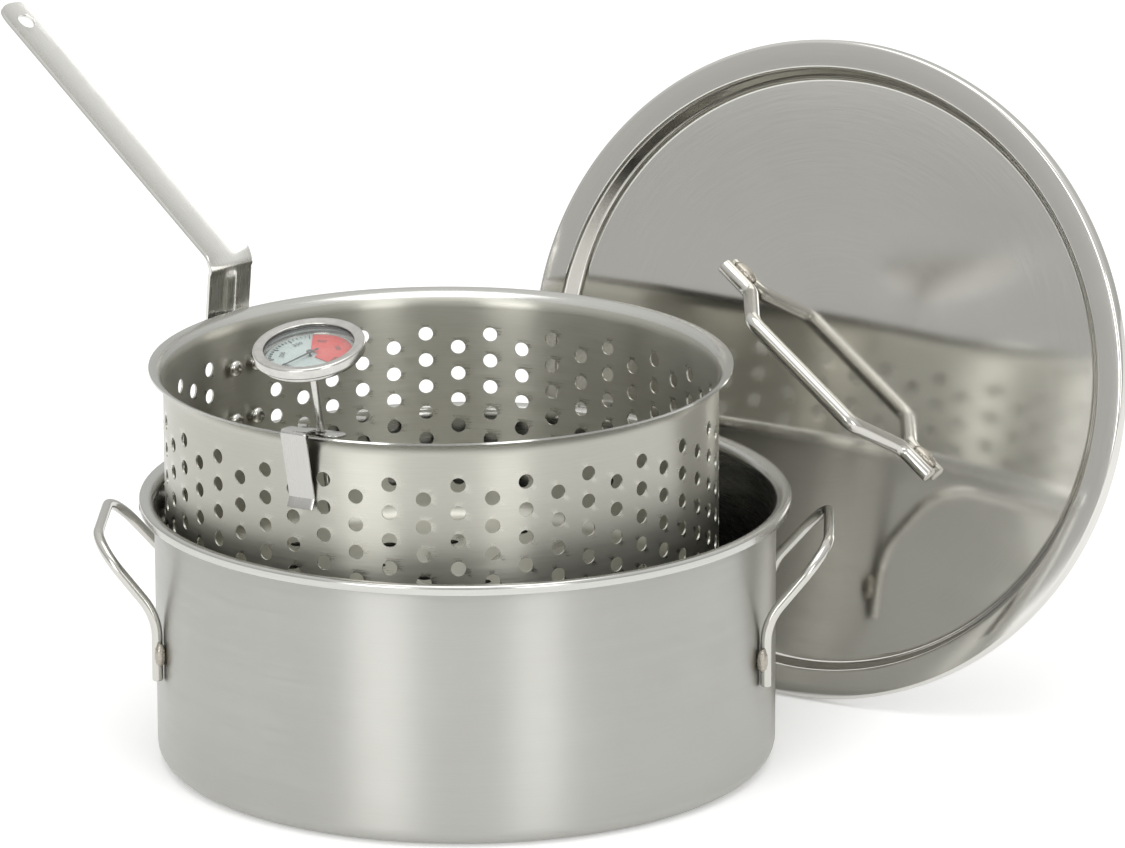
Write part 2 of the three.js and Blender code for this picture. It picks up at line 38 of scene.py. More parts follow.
POT = {
    "radius": 152.5, "height": 133.0, "corner": 9.0, "flare": 5.9,
    "rim_radius": 160.0, "edge": 1.8, "lip": 4.8, "segments": 288,
}
POT_HANDLE = {
    "rod": 2.7, "leg_angle": 17.4, "leg_bottom": 48.6, "leg_top": 81.3,
    "grip_out": 178.5, "grip_half": 40.0, "grip_height": 116.8, "knee_bend": 28.0, "grip_bend": 22.0,
}
BASKET = {
    "azimuth": 140.3, "offset": 15.6, "bottom": 76.0, "top": 196.0, "radius": 135.2,
    "corner": 8.0, "flare": 9.0, "columns": 52, "first_column": -2.36, "top_row": 172.4,
    "row_pitch": 13.8, "rows": 6, "hole": 7.3, "plain_half_angle": 8.0,
    "floor_rings": ((30, 6), (60, 12), (90, 18), (114, 24)),
}
BASKET_HANDLE = {
    "thickness": 1.6, "width": 29.6, "wall_x": 136.3, "wall_top": 177.0, "hook_x": 145.6,
    "hook_bottom": 125.0, "rim_x": 146.2, "rim_z": 190.0, "fold_x": 143.4, "fold_z": 219.6,
    "grip_rise": 35.5, "grip_length": 189.0, "trough_depth": 4.0, "rib_height": 1.2,
    "rib_start": (191.0, 195.0), "rib_end": (213.0, 217.0), "rib_side": (0.14, 0.3),
    "hang_hole": 9.2, "hang_hole_inset": 13.5,
}
SCREW = {
    "half_spacing": 7.65, "heights": (169.0, 141.5), "shank": 2.1, "head": 4.2,
    "head_height": 2.5, "clearance": 2.6, "washer": 4.6, "washer_thickness": 0.8,
    "nut": 4.1, "nut_thickness": 3.0,
}
LID = {
    "position": (173.3, 111.2, 164.16), "azimuth": -116.93, "elevation": 10.39,
    "radius": 165.8, "skirt": 6.0, "edge": 1.8, "step_top": 153.0, "step_bottom": 148.2,
    "recess": 10.0, "segments": 288,
}
LID_HANDLE = {
    "rod": 4.0, "turn": -35.9, "half": 77.5, "foot_half": 57.0, "grip_half": 37.0,
    "rise": 27.0, "bend": 9.0,
}
CLIP = {
    "azimuth": 103.85, "lean": 13.6, "thickness": 1.0, "width": 13.8, "leg_length": 34.5,
    "bridge": 1.25, "droop": 18.6, "inner_y": 8.4, "tab_z": -4.3, "tab_length": 12.4,
    "tab_end": 18.8, "hole": 5.0, "hole_x": 6.0, "hole_y": 14.3,
}
PROBE = {
    "radius": 1.9, "length": 127.0, "dial_height": 45.9, "bezel": 26.9, "window": 21.7,
    "zone_start": -19.0, "zone_sweep": 134.0, "pointer_angle": 247.0, "collar_z": -12.3,
    "tick_sweep": 300.0, "ticks": 50, "number_radius": 13.6, "number_sweep": 250.0,
}
CAMERA = {
    "position": (196.8, -3754.9, 1248.1), "turn": 3.0, "yaw": 0.0127, "pitch": 0.2801,
    "roll": 0.0025, "focal_px": 8000.0, "width_px": 1125.0, "sensor": 36.0,
}

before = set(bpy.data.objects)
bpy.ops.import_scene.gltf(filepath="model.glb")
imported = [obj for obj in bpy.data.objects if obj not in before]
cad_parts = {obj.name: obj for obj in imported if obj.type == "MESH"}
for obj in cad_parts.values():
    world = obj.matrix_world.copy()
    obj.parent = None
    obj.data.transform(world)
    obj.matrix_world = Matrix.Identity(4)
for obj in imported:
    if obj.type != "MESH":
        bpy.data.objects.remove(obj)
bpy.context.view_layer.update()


# ---- local frames ----


def translation(x, y, z):
    """A move given in millimetres."""
    return Matrix.Translation(Vector((x, y, z)) * MM)


def turn(degrees, axis="Z"):
    return Matrix.Rotation(math.radians(degrees), 4, axis)


def basis(right, forward, up):
    """A rotation whose columns are three unit vectors."""
    return Matrix((right, forward, up)).transposed().to_4x4()


def polar(radius, degrees, z=0.0):
    angle = math.radians(degrees)
    return Vector((radius * math.cos(angle), radius * math.sin(angle), z))


def basket_frame():
    return translation(*polar(BASKET["offset"], BASKET["azimuth"])) @ turn(BASKET["azimuth"])


def clip_frame():
    """X along the rim, Y into the basket and Z along the stem."""
    rim = BASKET["radius"] + BASKET["flare"] - 0.2
    into = -polar(1.0, CLIP["azimuth"])
    up = Vector((0, 0, 1))
    upright = basis(into.cross(up), into, up)
    place = translation(*polar(rim, CLIP["azimuth"], BASKET["top"]))
    return basket_frame() @ place @ upright @ turn(CLIP["lean"], "X")


def probe_frame():
    """Z along the stem, with the origin at the middle of the bezel's front."""
    return clip_frame() @ translation(
        CLIP["hole_x"], CLIP["hole_y"], CLIP["tab_z"] + PROBE["dial_height"]
    )


def lid_frame():
    elevation = math.radians(LID["elevation"])
    out = polar(math.cos(elevation), LID["azimuth"], math.sin(elevation))
    right = Vector((0, 0, 1)).cross(out).normalized()
    return translation(*LID["position"]) @ basis(right, out.cross(right), out)


# ---- mesh building ----


def arc(cx, cz, radius, start, end, steps):
    """Points on an arc, as [x, z] pairs, with its angles in degrees."""
    points = []
    for i in range(steps + 1):
        angle = math.radians(start + (end - start) * i / steps)
        points.append((cx + radius * math.cos(angle), cz + radius * math.sin(angle)))
    return points


def revolved(profile, segments, start=0.0):
    """Closed surface of revolution about Z, from (radius, height) pairs in millimetres."""
    bm = bmesh.new()
    rings = []
    for radius, height in profile:
        if radius == 0:
            rings.append([bm.verts.new((0, 0, height * MM))] * segments)
            continue
        ring = []
        for i in range(segments):
            ring.append(bm.verts.new(polar(radius, start + 360 * i / segments, height) * MM))
        rings.append(ring)
    for lower, upper in zip(rings, rings[1:]):
        for i in range(segments):
            k = (i + 1) % segments
            corners = []
            for vert in (lower[i], lower[k], upper[k], upper[i]):
                if vert not in corners:
                    corners.append(vert)
            if len(corners) > 2:
                bm.faces.new(corners)
    return bm


def rounded_path(corners, radii, steps):
    """A polyline whose inner corners are arcs, each with its own radius."""
    path = [corners[0].copy()]
    for i in range(1, len(corners) - 1):
        before = (corners[i - 1] - corners[i]).normalized()
        after = (corners[i + 1] - corners[i]).normalized()
        half = before.angle(after) / 2
        setback = radii[i - 1] / math.tan(half)
        centre = corners[i] + (before + after).normalized() * radii[i - 1] / math.sin(half)
        first = corners[i] + before * setback - centre
        last = corners[i] + after * setback - centre
        axis = first.cross(last).normalized()
        sweep = first.angle(last)
        for k in range(steps + 1):
            path.append(centre + Quaternion(axis, sweep * k / steps) @ first)
    path.append(corners[-1].copy())
    return path


def stations(path, first_normal):
    """(point, normal, side, distance) along a path, with the normal carried without twist."""
    result = []
    normal = first_normal.copy()
    distance = 0.0
    for i, point in enumerate(path):
        tangent = Vector((0, 0, 0))
        if i > 0:
            distance += (point - path[i - 1]).length
            tangent += (point - path[i - 1]).normalized()
        if i < len(path) - 1:
            tangent += (path[i + 1] - point).normalized()
        tangent.normalize()
        normal = (normal - tangent * normal.dot(tangent)).normalized()
        result.append((point, normal, tangent.cross(normal).normalized(), distance))
    return result


def eased_ends(path, length):
    """The path with extra points close to both ends, where a rod's tips are rounded."""
    first = (path[1] - path[0]).normalized()
    last = (path[-2] - path[-1]).normalized()
    near = [path[0] + first * length * share for share in (0.0, 0.1, 0.3, 0.6, 1.0)]
    far = [path[-1] + last * length * share for share in (1.0, 0.6, 0.3, 0.1, 0.0)]
    return near + path[1:-1] + far


def swept_rod(path, radius, sides, first_normal, tip=0.8):
    """A round rod along a path, with rounded tips and a map of (length, turn) in metres."""
    bm = bmesh.new()
    layer = bm.loops.layers.uv.new("length_turn")
    marks = stations(eased_ends(path, tip), first_normal)
    total = marks[-1][3]
    rings = []
    for point, normal, side, distance in marks:
        from_end = min(distance, total - distance)
        inset = max(0.0, 1 - from_end / tip)
        reach = radius - tip * (1 - math.sqrt(max(0.0, 1 - inset * inset)))
        ring = []
        for i in range(sides):
            angle = math.tau * i / sides
            spoke = normal * math.cos(angle) + side * math.sin(angle)
            ring.append(bm.verts.new((point + spoke * reach) * MM))
        rings.append(ring)
    around = math.tau * radius * MM
    for row, (lower, upper) in enumerate(zip(rings, rings[1:])):
        for i in range(sides):
            k = (i + 1) % sides
            face = bm.faces.new((lower[i], lower[k], upper[k], upper[i]))
            places = ((row, i), (row, i + 1), (row + 1, i + 1), (row + 1, i))
            for loop, (r, turn_index) in zip(face.loops, places):
                loop[layer].uv = (marks[r][3] * MM, around * turn_index / sides)
    bm.faces.new(list(reversed(rings[0])))
    bm.faces.new(rings[-1])
    return bm


def swept_strip(path, width, across, first_normal, shape=None):
    """The middle surface of a bent strip, with a map of (length, width) in metres."""
    bm = bmesh.new()
    layer = bm.loops.layers.uv.new("length_turn")
    marks = stations(path, first_normal)
    rows = []
    for row, (point, normal, side, _) in enumerate(marks):
        verts = []
        for i in range(across + 1):
            offset = width * (i / across - 0.5)
            spread, lift = shape(offset, row) if shape else (offset, 0.0)
            verts.append(bm.verts.new((point + side * spread + normal * lift) * MM))
        rows.append(verts)
    for row in range(len(rows) - 1):
        for i in range(across):
            face = bm.faces.new((rows[row][i], rows[row][i + 1], rows[row + 1][i + 1], rows[row + 1][i]))
            places = ((row, i), (row, i + 1), (row + 1, i + 1), (row + 1, i))
            for loop, (r, k) in zip(face.loops, places):
                loop[layer].uv = (marks[r][3] * MM, width * k / across * MM)
    return bm


def cylinder(radius, depth, segments, axis="Z"):
    """A closed cylinder about the origin, in millimetres."""
    bm = bmesh.new()
    bmesh.ops.create_cone(
        bm, cap_ends=True, segments=segments, radius1=radius * MM, radius2=radius * MM, depth=depth * MM
    )
    if axis == "X":
        bmesh.ops.rotate(bm, matrix=turn(90, "Y").to_3x3(), verts=bm.verts)
    return bm


def block(x, y, z):
    """A closed box about the origin, in millimetres."""
    bm = bmesh.new()
    bmesh.ops.create_cube(bm, size=1.0)
    bmesh.ops.scale(bm, vec=Vector((x, y, z)) * MM, verts=bm.verts)
    return bm


def moved(bm, matrix):
    bmesh.ops.transform(bm, matrix=matrix, verts=bm.verts)
    return bm


def merged(parts):
    """One mesh that holds several, which don't touch each other."""
    whole = bmesh.new()
    for part in parts:
        mesh = bpy.data.meshes.new("part")
        part.to_mesh(mesh)
        part.free()
        whole.from_mesh(mesh)
        bpy.data.meshes.remove(mesh)
    return whole


def new_object(name, bm):
    bmesh.ops.recalc_face_normals(bm, faces=bm.faces)
    mesh = bpy.data.meshes.new(name)
    bm.to_mesh(mesh)
    bm.free()
    obj = bpy.data.objects.new(name, mesh)
    bpy.context.scene.collection.objects.link(obj)
    return obj


def apply_modifiers(obj):
    """Bakes the object's modifiers into its mesh."""
    bpy.context.view_layer.update()
    graph = bpy.context.evaluated_depsgraph_get()
    mesh = bpy.data.meshes.new_from_object(obj.evaluated_get(graph))
    old = obj.data
    obj.modifiers.clear()
    obj.data = mesh
    bpy.data.meshes.remove(old)


def thicken(obj, thickness, offset):
    modifier = obj.modifiers.new("thickness", "SOLIDIFY")
    modifier.thickness = thickness * MM
    modifier.offset = offset
    modifier.use_even_offset = True
    apply_modifiers(obj)


def ease_edges(obj, width, segments=2, angle=50):
    modifier = obj.modifiers.new("edges", "BEVEL")
    modifier.width = width * MM
    modifier.segments = segments
    modifier.limit_method = "ANGLE"
    modifier.angle_limit = math.radians(angle)
    apply_modifiers(obj)


def punch(obj, tools):
    """Cuts closed tool meshes, which don't touch each other, out of the object."""
    cutter = new_object("cutter", merged(tools))
    modifier = obj.modifiers.new("holes", "BOOLEAN")
    modifier.operation = "DIFFERENCE"
    modifier.solver = "MANIFOLD"
    modifier.object = cutter
    apply_modifiers(obj)
    bpy.data.objects.remove(cutter)


def keep_local_places(mesh):
    """Stores each vertex's local place, and a map of (turn, travel) about the local Z axis."""
    local = mesh.attributes.new("local", "FLOAT_VECTOR", "POINT")
    local.data.foreach_set("vector", [c for vert in mesh.vertices for c in vert.co])
    layer = mesh.uv_layers.new(name="about_axis")
    for polygon in mesh.polygons:
        middle = math.atan2(polygon.center.y, polygon.center.x)
        for index in polygon.loop_indices:
            spot = mesh.vertices[mesh.loops[index].vertex_index].co
            radius = math.hypot(spot.x, spot.y)
            angle = math.atan2(spot.y, spot.x) if radius > 1e-6 else middle
            angle = middle + math.remainder(angle - middle, math.tau)
            layer.data[index].uv = (angle / math.tau, radius + spot.z)


def finish_piece(obj, place, body, nodes, material, crease=35):
    """Shades the piece, puts it in place, and ties it to the frame."""
    for polygon in obj.data.polygons:
        polygon.use_smooth = True
    obj.data.set_sharp_from_angle(angle=math.radians(crease))
    keep_local_places(obj.data)
    obj.data.transform(place)
    obj.data.materials.clear()
    obj.data.materials.append(material)
    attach(obj, body)
    if nodes:
        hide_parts(*nodes)


# ---- materials ----


class Nodes:
    """Short way to add and link shader nodes."""

    def __init__(self, name):
        self.material = bpy.data.materials.new(name)
        self.material.use_nodes = True
        self.tree = self.material.node_tree
        self.tree.nodes.clear()
        self.shader = self.add("ShaderNodeBsdfPrincipled")
        output = self.add("ShaderNodeOutputMaterial")
        self.link(self.shader.outputs[0], output.inputs["Surface"])

    def add(self, kind, **settings):
        node = self.tree.nodes.new(kind)
        for key, value in settings.items():
            setattr(node, key, value)
        return node

    def link(self, output, socket):
        self.tree.links.new(output, socket)

    def math(self, operation, a, b=None):
        node = self.add("ShaderNodeMath", operation=operation)
        for socket, value in zip(node.inputs, (a, b)):
            if value is None:
                continue
            if isinstance(value, (int, float)):
                socket.default_value = value
            else:
                self.link(value, socket)
        return node.outputs[0]

    def combine(self, x, y, z):
        node = self.add("ShaderNodeCombineXYZ")
        for socket, value in zip(node.inputs, (x, y, z)):
            if isinstance(value, (int, float)):
                socket.default_value = value
            else:
                self.link(value, socket)
        return node.outputs[0]

    def noise(self, vector, scale, detail=3.0, roughness=0.55):
        node = self.add("ShaderNodeTexNoise")
        self.link(vector, node.inputs["Vector"])
        node.inputs["Scale"].default_value = scale
        node.inputs["Detail"].default_value = detail
        node.inputs["Roughness"].default_value = roughness
        return node.outputs["Fac"]

    def spread(self, value, low, high, start=0.3, end=0.7):
        """Maps a value from start..end to low..high."""
        node = self.add("ShaderNodeMapRange")
        self.link(value, node.inputs["Value"])
        for key, number in (("From Min", start), ("From Max", end), ("To Min", low), ("To Max", high)):
            node.inputs[key].default_value = number
        return node.outputs["Result"]

    def tint(self, value, dark, light):
        """A colour between two, by a value from 0 to 1."""
        node = self.add("ShaderNodeMix", data_type="RGBA")
        self.link(value, node.inputs["Factor"])
        node.inputs["A"].default_value = (*dark, 1)
        node.inputs["B"].default_value = (*light, 1)
        return node.outputs["Result"]

    def bump(self, height, strength, distance):
        node = self.add("ShaderNodeBump")
        node.inputs["Strength"].default_value = strength
        node.inputs["Distance"].default_value = distance
        self.link(height, node.inputs["Height"])
        self.link(node.outputs["Normal"], self.shader.inputs["Normal"])

    def local(self):
        return self.add("ShaderNodeAttribute", attribute_name="local").outputs["Vector"]


def scaled(color, factor):
    return tuple(channel * factor for channel in color)


def worn_edges(nodes):
    """1 on convex edges, where handling has polished the metal, and 0 elsewhere."""
    geometry = nodes.add("ShaderNodeNewGeometry")
    return nodes.spread(geometry.outputs["Pointiness"], 0, 1, 0.52, 0.6)


def turned_metal(name, color, roughness, grain=0.05, relief=0.04, anisotropy=0.7, cloud=0.05):
    """Sheet metal spun and brushed in circles about its own Z axis."""
    nodes = Nodes(name)
    place = nodes.local()
    axes = nodes.add("ShaderNodeSeparateXYZ")
    nodes.link(place, axes.inputs[0])
    x, y, z = axes.outputs
    radius = nodes.math("SQRT", nodes.math("ADD", nodes.math("MULTIPLY", x, x), nodes.math("MULTIPLY", y, y)))
    travel = nodes.math("MULTIPLY", nodes.math("ADD", radius, z), 60.0)
    lines = nodes.noise(nodes.combine(x, y, travel), 42.0, 3.0, 0.7)
    bands = nodes.noise(nodes.combine(x, y, travel), 6.0, 2.0)
    clouds = nodes.noise(place, 14.0, 3.0)
    worn = worn_edges(nodes)
    streak = nodes.spread(lines, 0, 1)
    base = nodes.tint(streak, scaled(color, 1 - grain), scaled(color, 1 + grain))
    shade = nodes.add("ShaderNodeMix", data_type="RGBA", blend_type="MULTIPLY")
    shade.inputs["Factor"].default_value = 1.0
    nodes.link(base, shade.inputs["A"])
    veil = nodes.tint(nodes.spread(clouds, 0, 1), (1 - cloud, 1 - cloud * 1.1, 1 - cloud * 1.3), (1, 1, 1))
    nodes.link(veil, shade.inputs["B"])
    nodes.link(shade.outputs["Result"], nodes.shader.inputs["Base Color"])
    rough = nodes.math("ADD", nodes.spread(lines, roughness * 0.85, roughness * 1.15),
                       nodes.spread(bands, -roughness * 0.03, roughness * 0.03))
    polished = nodes.math("MULTIPLY", worn, -roughness * 0.3)
    nodes.link(nodes.math("ADD", rough, polished), nodes.shader.inputs["Roughness"])
    nodes.shader.inputs["Metallic"].default_value = 1.0
    if anisotropy:
        tangent = nodes.add("ShaderNodeTangent", direction_type="UV_MAP", uv_map="about_axis")
        nodes.link(tangent.outputs[0], nodes.shader.inputs["Tangent"])
        nodes.shader.inputs["Anisotropic"].default_value = anisotropy
        nodes.shader.inputs["Anisotropic Rotation"].default_value = 0.25
    nodes.bump(lines, relief, 0.00002)
    return nodes.material


def drawn_metal(name, color, roughness, grain=0.05, relief=0.1, cloud=0.05):
    """Rod or strip with fine lines along its length, from its length and turn map."""
    nodes = Nodes(name)
    uv = nodes.add("ShaderNodeUVMap", uv_map="length_turn").outputs[0]
    axes = nodes.add("ShaderNodeSeparateXYZ")
    nodes.link(uv, axes.inputs[0])
    along, around, _ = axes.outputs
    vector = nodes.combine(along, nodes.math("MULTIPLY", around, 40.0), 0.0)
    lines = nodes.noise(vector, 60.0, 3.0, 0.6)
    clouds = nodes.noise(nodes.local(), 60.0, 3.0)
    worn = worn_edges(nodes)
    base = nodes.tint(nodes.spread(lines, 0, 1), scaled(color, 1 - grain), scaled(color, 1 + grain))
    nodes.link(base, nodes.shader.inputs["Base Color"])
    rough = nodes.math("ADD", nodes.spread(lines, roughness * 0.8, roughness * 1.2),
                       nodes.spread(clouds, -roughness * cloud * 4, roughness * cloud * 4))
    nodes.link(nodes.math("ADD", rough, nodes.math("MULTIPLY", worn, -roughness * 0.3)),
               nodes.shader.inputs["Roughness"])
    nodes.shader.inputs["Metallic"].default_value = 1.0
    nodes.bump(nodes.math("ADD", lines, nodes.math("MULTIPLY", clouds, 3.0)), relief, 0.00002)
    return nodes.material


def cast_metal(name, color, roughness, size, relief):
    """Small fasteners, trim and weld beads: fine unordered grain."""
    nodes = Nodes(name)
    grains = nodes.noise(nodes.local(), size, 4.0, 0.6)
    worn = worn_edges(nodes)
    base = nodes.tint(nodes.spread(grains, 0, 1), scaled(color, 0.88), scaled(color, 1.06))
    nodes.link(base, nodes.shader.inputs["Base Color"])
    rough = nodes.math("ADD", nodes.spread(grains, roughness * 0.8, roughness * 1.25),
                       nodes.math("MULTIPLY", worn, -roughness * 0.3))
    nodes.link(rough, nodes.shader.inputs["Roughness"])
    nodes.shader.inputs["Metallic"].default_value = 1.0
    nodes.bump(grains, relief, 0.0001)
    return nodes.material


def printed(name, color, roughness=0.45, mottle=0.08):
    """Ink or enamel on the dial, slightly uneven."""
    nodes = Nodes(name)
    speckle = nodes.noise(nodes.local(), 900.0, 3.0)
    base = nodes.tint(nodes.spread(speckle, 0, 1), scaled(color, 1 - mottle), scaled(color, 1 + mottle))
    nodes.link(base, nodes.shader.inputs["Base Color"])
    nodes.link(nodes.spread(speckle, roughness * 0.9, roughness * 1.1), nodes.shader.inputs["Roughness"])
    nodes.bump(speckle, 0.05, 0.00005)
    return nodes.material


def rubber(name):
    nodes = Nodes(name)
    grain = nodes.noise(nodes.local(), 1500.0, 3.0)
    nodes.link(nodes.tint(grain, (0.03, 0.03, 0.03), (0.06, 0.06, 0.058)), nodes.shader.inputs["Base Color"])
    nodes.link(nodes.spread(grain, 0.7, 0.9), nodes.shader.inputs["Roughness"])
    nodes.bump(grain, 0.3, 0.0001)
    return nodes.material


def window_glass(name):
    """Clear flat window with faint smears."""
    nodes = Nodes(name)
    smear = nodes.noise(nodes.local(), 120.0, 3.0)
    nodes.link(nodes.tint(smear, (0.90, 0.95, 0.94), (0.97, 1.0, 0.99)), nodes.shader.inputs["Base Color"])
    nodes.link(nodes.spread(smear, 0.02, 0.07), nodes.shader.inputs["Roughness"])
    nodes.shader.inputs["IOR"].default_value = 1.5
    nodes.link(nodes.spread(smear, 0.06, 0.1), nodes.shader.inputs["Alpha"])
    return nodes.material


LOOK = {
    "pot": turned_metal("pot_brushed_steel", (0.50, 0.50, 0.475), 0.42, grain=0.035, relief=0.015,
                        anisotropy=0.9),
    # Darker copy of the pot's steel, with lower roughness, for the faces inside the pot: its darker colour is
    # painted shade in the pot's hollow.
    "pot_painted_shade_inside": turned_metal("pot_painted_shade_inside_steel", (0.42, 0.42, 0.40), 0.28, anisotropy=0.6),
    "rim": turned_metal("polished_rim_steel", (0.55, 0.55, 0.525), 0.2, relief=0.02, anisotropy=0.2),
    "basket": turned_metal("basket_brushed_steel", (0.51, 0.505, 0.455), 0.34, anisotropy=0.9),
    "lid": turned_metal("lid_polished_steel", (0.66, 0.65, 0.62), 0.1, grain=0.02, relief=0.02,
                        anisotropy=0.3, cloud=0.03),
    "rod": drawn_metal("drawn_rod", (0.57, 0.56, 0.525), 0.16),
    "grip": drawn_metal("satin_strip", (0.68, 0.675, 0.645), 0.26, grain=0.03, relief=0.03),
    "clip": drawn_metal("clip_strip_steel", (0.5, 0.495, 0.475), 0.24, relief=0.03),
    "fastener": cast_metal("bright_fastener", (0.66, 0.65, 0.62), 0.16, 700.0, 0.1),
    "trim": cast_metal("bright_trim", (0.58, 0.57, 0.54), 0.2, 160.0, 0.02),
    "weld": cast_metal("weld_bead", (0.42, 0.39, 0.34), 0.28, 420.0, 1.0),
    "face": printed("dial_enamel", (0.45, 0.53, 0.51)),
    "red": printed("dial_red_ink", (0.6, 0.06, 0.05)),
    "ink": printed("dial_black_ink", (0.03, 0.035, 0.035)),
    "rubber": rubber("gasket_rubber"),
    "glass": window_glass("window_glass"),
}


# ---- pot ----


def pot_profile():
    radius, height, corner = POT["radius"], POT["height"], POT["corner"]
    flare, rim, edge, lip = POT["flare"], POT["rim_radius"], POT["edge"], POT["lip"]
    flare_x = radius - SHEET + flare
    flare_z = height - flare
    return [
        (0, 0), (radius - corner - 30, 0),
        *arc(radius - corner, corner, corner, -90, 0, 10),
        (radius, 30), (radius, 60), (radius, 90),
        *arc(flare_x, flare_z, flare - SHEET, 180, 90, 10),
        *arc(rim - edge, height - edge, edge - SHEET, 90, 0, 4),
        (rim - SHEET, height - lip + 0.2),
        (rim - SHEET / 2, height - lip),
        (rim, height - lip + 0.2),
        *arc(rim - edge, height - edge, edge, 0, 90, 6),
        *arc(flare_x, flare_z, flare, 90, 180, 10),
        (radius - SHEET, 90), (radius - SHEET, 60), (radius - SHEET, 30),
        *arc(radius - corner, corner, corner - SHEET, 0, -90, 8),
        (radius - corner - 30, SHEET), (0, SHEET),
    ]


def pot_leg_spot(z):
    reach = POT["radius"] + GAP + POT_HANDLE["rod"]
    return polar(reach, POT_HANDLE["leg_angle"], z)


def pot_handle_path():
    low = pot_leg_spot(POT_HANDLE["leg_bottom"])
    knee = pot_leg_spot(POT_HANDLE["leg_top"])
    grip = Vector((POT_HANDLE["grip_out"], POT_HANDLE["grip_half"], POT_HANDLE["grip_height"]))
    half = [low, knee, grip]
    other = [Vector((point.x, -point.y, point.z)) for point in reversed(half)]
    knee_bend, grip_bend = POT_HANDLE["knee_bend"], POT_HANDLE["grip_bend"]
    return rounded_path(half + other, [knee_bend, grip_bend, grip_bend, knee_bend], 12)


def bead(size, centre, ripple):
    """An oval weld bead with ripples along its first long axis."""
    bm = bmesh.new()
    bmesh.ops.create_uvsphere(bm, u_segments=28, v_segments=20, radius=1.0)
    for vert in bm.verts:
        wave = 1 + 0.035 * math.sin(vert.co.dot(ripple) * 16)
        vert.co = Vector(s * c * wave for s, c in zip(size, vert.co))
    return moved(bm, Matrix.Scale(MM, 4) @ Matrix.Translation(centre))


def pot_weld(side):
    """Weld bead in the corner between one leg and the wall, trimmed to both."""
    spot = pot_leg_spot(POT_HANDLE["leg_bottom"] + 14)
    spot.y *= side
    centre = polar(POT["radius"] + 2.4, (POT_HANDLE["leg_angle"] + 1.4) * side, spot.z)
    weld = new_object("weld", bead((2.8, 2.8, 6.0), centre, Vector((0, 0, 1))))
    rod = moved(cylinder(POT_HANDLE["rod"] + 0.05, 30, 40), translation(*spot))
    wall = moved(cylinder(POT["radius"] + 0.05, 30, 288), translation(0, 0, spot.z))
    punch(weld, [rod])
    punch(weld, [wall])
    return weld


def polish_rim(shell, height):
    """Every face above a height gets the polished rim's material."""
    shell.data.materials.append(LOOK["rim"])
    last = len(shell.data.materials) - 1
    for polygon in shell.data.polygons:
        if polygon.center.z > height * MM:
            polygon.material_index = last


def make_pot():
    shell = new_object("pot_body", revolved(pot_profile(), POT["segments"]))
    finish_piece(shell, Matrix.Identity(4), "pot", ["pot_shell"], LOOK["pot"])
    # The inner faces get the darker copy of the pot's steel: painted shade inside the pot.
    shell.data.materials.append(LOOK["pot_painted_shade_inside"])
    wall = (POT["radius"] - SHEET / 2) * MM
    for polygon in shell.data.polygons:
        x, y, z = polygon.center
        if z > SHEET / 2 * MM and math.hypot(x, y) < wall and polygon.normal.dot((-x, -y, 0.02)) > 0:
            polygon.material_index = 1
    polish_rim(shell, POT["height"] - POT["flare"])
    for side, angle in (("right", 0), ("left", 180)):
        rod = swept_rod(pot_handle_path(), POT_HANDLE["rod"], 28, Vector((1, 0, 0)))
        handle = new_object(f"pot_grip_{side}", rod)
        finish_piece(handle, turn(angle), "pot", [f"pot_handle_{side}"], LOOK["rod"])
        for end, sign in (("a", 1), ("b", -1)):
            weld = pot_weld(sign)
            weld.name = f"pot_bead_{side}_{end}"
            finish_piece(weld, turn(angle), "pot", [f"pot_weld_{side}_{end}"], LOOK["weld"])


# ---- basket ----


def basket_rows():
    """(radius, height) rows of the outer face, and the row where the wall's lattice starts."""
    radius, bottom, top = BASKET["radius"], BASKET["bottom"], BASKET["top"]
    corner, flare, pitch = BASKET["corner"], BASKET["flare"], BASKET["row_pitch"]
    floor = [(r, bottom) for r in (20, 40, 60, 80, 100, 115)]
    floor += arc(radius - corner, bottom + corner, corner, -90, 0, 8)
    lattice_top = BASKET["top_row"] + pitch / 2
    steps = CELL * BASKET["rows"] + CELL // 2
    lattice_bottom = lattice_top - steps * pitch / CELL
    wall = [(radius, lattice_bottom + k * pitch / CELL) for k in range(steps + 1)]
    rim = arc(radius + flare, top - SHEET - flare, flare, 180, 97, 12)
    return floor + wall + rim, len(floor)


def is_plain(column):
    """True for the columns behind the handle's bracket, which have no holes."""
    angle = BASKET["first_column"] + 360 * column / BASKET["columns"]
    return abs((angle + 180) % 360 - 180) < BASKET["plain_half_angle"]


def punched_cell(bm, border, centre_angle, centre_z):
    """Faces between the border of one cell and the round hole in its middle."""
    radius = BASKET["radius"]
    hole = BASKET["hole"] / 2
    rings = []
    for reach in (hole + 0.35, hole):
        ring = []
        for k in range(len(border)):
            angle = math.tau * k / len(border)
            swing = math.degrees(reach * math.cos(angle) / radius)
            z = centre_z + reach * math.sin(angle)
            ring.append(bm.verts.new(polar(radius, centre_angle + swing, z) * MM))
        rings.append(ring)
    for outer, inner in ((border, rings[0]), (rings[0], rings[1])):
        for k in range(len(border)):
            n = (k + 1) % len(border)
            bm.faces.new((outer[k], outer[n], inner[n], inner[k]))


def cell_border(column, row):
    """Lattice places round one cell, anticlockwise from the middle of its right side."""
    left, right = column * CELL, (column + 1) * CELL
    half = CELL // 2
    places = [(right, row + half + k) for k in range(half)]
    places += [(right - k, row + CELL) for k in range(CELL)]
    places += [(left, row + CELL - k) for k in range(CELL)]
    places += [(left + k, row) for k in range(CELL)]
    places += [(right, row + k) for k in range(half)]
    return places


